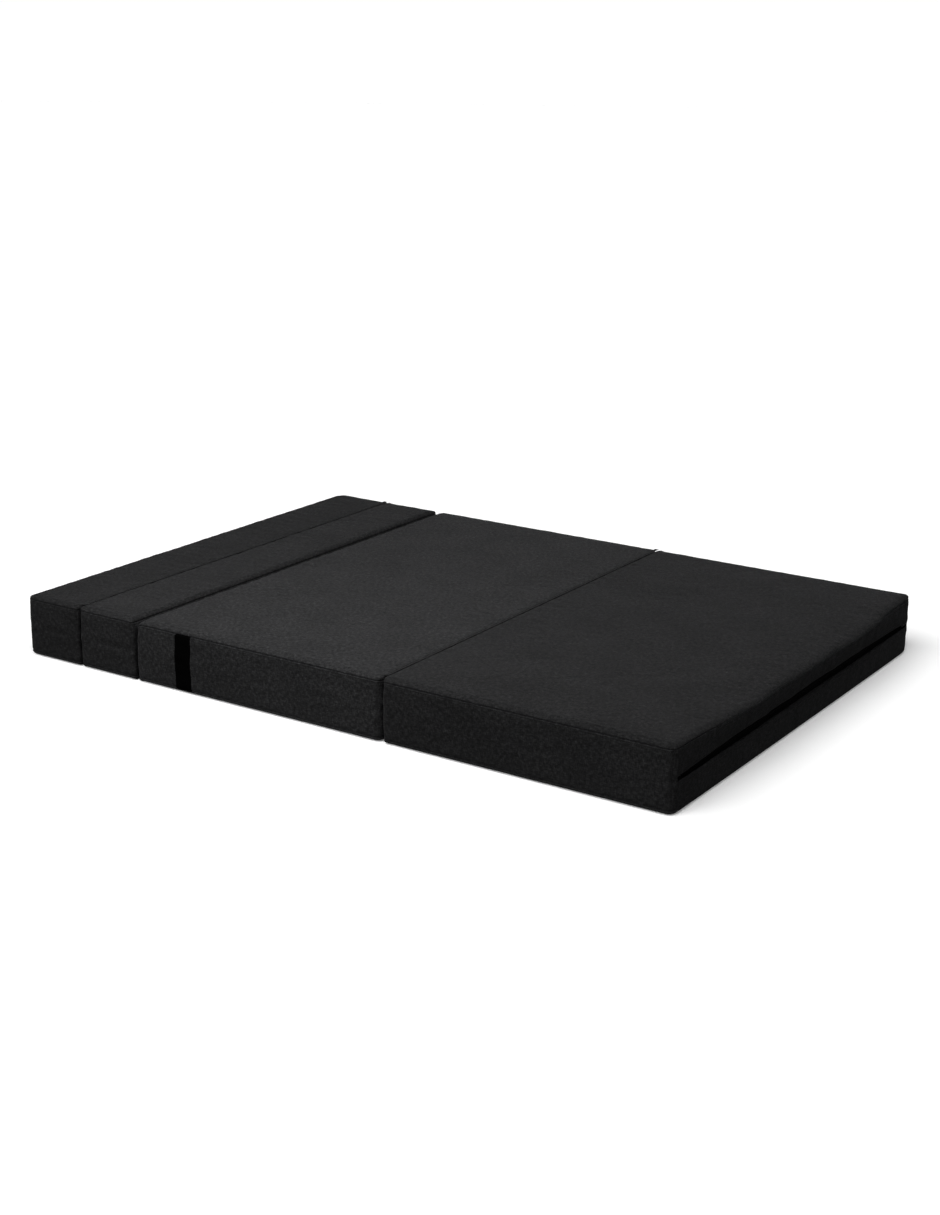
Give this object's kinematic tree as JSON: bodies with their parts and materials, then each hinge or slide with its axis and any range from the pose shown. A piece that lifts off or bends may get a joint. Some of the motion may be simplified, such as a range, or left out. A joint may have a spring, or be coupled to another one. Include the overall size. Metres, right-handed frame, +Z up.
{
  "type": "folding foam mattress",
  "caption": "Sectioned fold-up foam futon mattress with zip-off fabric box covers; lies flat as a double bed or folds into a low sofa.",
  "frame": {"origin": "middle of the underside, on the floor, with the mattress laid flat", "axes": "+X along the mattress from the outer bolster to the end cushion, +Y from the front side to the back side, +Z up"},
  "size_m": [1.9, 1.3716, 0.165],
  "materials": {
    "cover_fabric": "matte",
    "hinge_fabric": "matte",
    "webbing": "matte",
    "foam": "matte",
    "zip_tape": "matte",
    "zip_coil": "satin",
    "zip_metal": "satin"
  },
  "bodies": {
    "outer_bolster": {"outer_bolster_foam": "foam", "outer_bolster_top_panel": "cover_fabric", "outer_bolster_bottom_panel": "cover_fabric", "outer_bolster_side_band": "cover_fabric", "outer_bolster_zip_panel_upper": "cover_fabric", "outer_bolster_zip_panel_lower": "cover_fabric", "outer_bolster_zip_tapes": "zip_tape", "outer_bolster_zip_coil": "zip_coil", "outer_bolster_zip_stops": "zip_metal"},
    "outer_bolster_slider": {"outer_bolster_zip_slider": "zip_metal"},
    "outer_bolster_pull": {"outer_bolster_zip_pull": "zip_metal"},
    "inner_bolster": {"inner_bolster_foam": "foam", "inner_bolster_top_panel": "cover_fabric", "inner_bolster_bottom_panel": "cover_fabric", "inner_bolster_side_band": "cover_fabric", "inner_bolster_zip_panel_upper": "cover_fabric", "inner_bolster_zip_panel_lower": "cover_fabric", "inner_bolster_zip_tapes": "zip_tape", "inner_bolster_zip_coil": "zip_coil", "inner_bolster_zip_stops": "zip_metal", "bolster_hinge_strip": "hinge_fabric"},
    "inner_bolster_slider": {"inner_bolster_zip_slider": "zip_metal"},
    "inner_bolster_pull": {"inner_bolster_zip_pull": "zip_metal"},
    "middle_cushion": {"middle_cushion_foam": "foam", "middle_cushion_top_panel": "cover_fabric", "middle_cushion_bottom_panel": "cover_fabric", "middle_cushion_side_band": "cover_fabric", "middle_cushion_zip_panel_upper": "cover_fabric", "middle_cushion_zip_panel_lower": "cover_fabric", "middle_cushion_zip_tapes": "zip_tape", "middle_cushion_zip_coil": "zip_coil", "middle_cushion_zip_stops": "zip_metal", "backrest_hinge_strip": "hinge_fabric", "side_strap": "webbing"},
    "middle_cushion_slider": {"middle_cushion_zip_slider": "zip_metal"},
    "middle_cushion_pull": {"middle_cushion_zip_pull": "zip_metal"},
    "end_cushion": {"end_cushion_foam": "foam", "end_cushion_top_panel": "cover_fabric", "end_cushion_bottom_panel": "cover_fabric", "end_cushion_side_band": "cover_fabric", "end_cushion_zip_panel_upper": "cover_fabric", "end_cushion_zip_panel_lower": "cover_fabric", "end_cushion_zip_tapes": "zip_tape", "end_cushion_zip_coil": "zip_coil", "end_cushion_zip_stops": "zip_metal", "seat_hinge_strip": "hinge_fabric"},
    "end_cushion_slider": {"end_cushion_zip_slider": "zip_metal"},
    "end_cushion_pull": {"end_cushion_zip_pull": "zip_metal"}
  },
  "joints": [
    {"name": "seat_fold", "type": "hinge", "parent": "end_cushion", "child": "middle_cushion", "pos_m": [0.19, 0, 0.1655], "axis": [0, 1, 0], "range_deg": [0, 180], "deforming": ["seat_hinge_strip"]},
    {"name": "backrest_fold", "type": "hinge", "parent": "middle_cushion", "child": "inner_bolster", "pos_m": [-0.572, 0, -0.0005], "axis": [0, -1, 0], "range_deg": [0, 180], "deforming": ["backrest_hinge_strip"]},
    {"name": "bolster_fold", "type": "hinge", "parent": "inner_bolster", "child": "outer_bolster", "pos_m": [-0.762, 0, 0.1655], "axis": [0, 1, 0], "range_deg": [0, 180], "deforming": ["bolster_hinge_strip"]},
    {"name": "outer_bolster_zip_slide", "type": "slide", "parent": "outer_bolster", "child": "outer_bolster_slider", "axis": [0, 1, 0], "range_m": [0, 1.29], "deforming": ["outer_bolster_zip_coil"]},
    {"name": "outer_bolster_pull_swing", "type": "hinge", "parent": "outer_bolster_slider", "child": "outer_bolster_pull", "pos_m": [-0.9454, -0.655, 0.0825], "axis": [0, 0, 1], "range_deg": [0, 145]},
    {"name": "inner_bolster_zip_slide", "type": "slide", "parent": "inner_bolster", "child": "inner_bolster_slider", "axis": [1, 0, 0], "range_m": [0, 0.106], "deforming": ["inner_bolster_zip_coil"]},
    {"name": "inner_bolster_pull_swing", "type": "hinge", "parent": "inner_bolster_slider", "child": "inner_bolster_pull", "pos_m": [-0.73, 0.6804, 0.0825], "axis": [0, 0, 1], "range_deg": [0, 145]},
    {"name": "middle_cushion_zip_slide", "type": "slide", "parent": "middle_cushion", "child": "middle_cushion_slider", "axis": [1, 0, 0], "range_m": [0, 0.678], "deforming": ["middle_cushion_zip_coil"]},
    {"name": "middle_cushion_pull_swing", "type": "hinge", "parent": "middle_cushion_slider", "child": "middle_cushion_pull", "pos_m": [-0.54, 0.6804, 0.0825], "axis": [0, 0, 1], "range_deg": [0, 145]},
    {"name": "end_cushion_zip_slide", "type": "slide", "parent": "end_cushion", "child": "end_cushion_slider", "axis": [0, -1, 0], "range_m": [0, 1.29], "deforming": ["end_cushion_zip_coil"]},
    {"name": "end_cushion_pull_swing", "type": "hinge", "parent": "end_cushion_slider", "child": "end_cushion_pull", "pos_m": [0.9454, 0.655, 0.0825], "axis": [0, 0, 1], "range_deg": [0, 145]}
  ]
}
